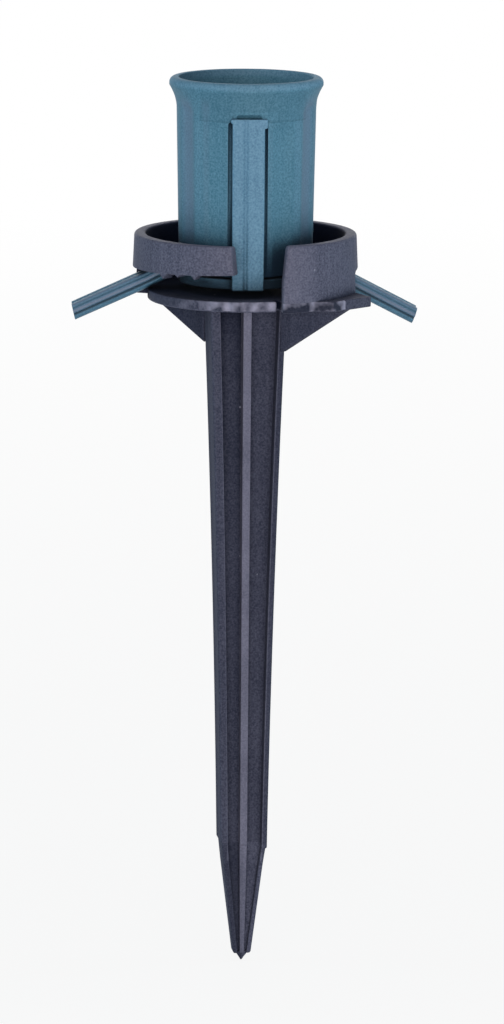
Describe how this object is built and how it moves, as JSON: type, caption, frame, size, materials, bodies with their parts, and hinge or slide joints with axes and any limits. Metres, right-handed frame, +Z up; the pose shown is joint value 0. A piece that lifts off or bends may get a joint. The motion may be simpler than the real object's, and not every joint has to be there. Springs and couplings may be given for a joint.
{
  "type": "string light lawn stake",
  "caption": "Plastic ground stake with a twist-in collar that holds one string-light socket and its flat cord.",
  "frame": {"origin": "on the spike's axis at the platform's underside, where the stake stands in the soil up to its platform", "axes": "+Z up along the spike's axis, -Y towards the viewer, through the middle of the collar's front opening"},
  "size_m": [0.0577, 0.037, 0.1511],
  "materials": {
    "stake_plastic": "dark grey moulded polypropylene with a fine matt grain",
    "socket_plastic": "blue-green moulded plastic, satin",
    "cord_vinyl": "blue-green vinyl, ribbed along one side",
    "brass": "stamped brass",
    "copper": "bare stranded copper"
  },
  "bodies": {
    "stake": {"stake": "stake_plastic"},
    "socket": {"socket_housing": "socket_plastic", "latch_cap": "socket_plastic", "screw_shell": "brass", "centre_contact": "brass", "cord_jacket": "cord_vinyl", "conductor_front": "copper", "conductor_rear": "copper"}
  },
  "joints": [
    {"name": "socket_twist", "type": "hinge", "parent": "stake", "child": "socket", "pos_m": [0, 0, 0.003], "axis": [0, 0, 1], "range_deg": [-7, 96]}
  ]
}
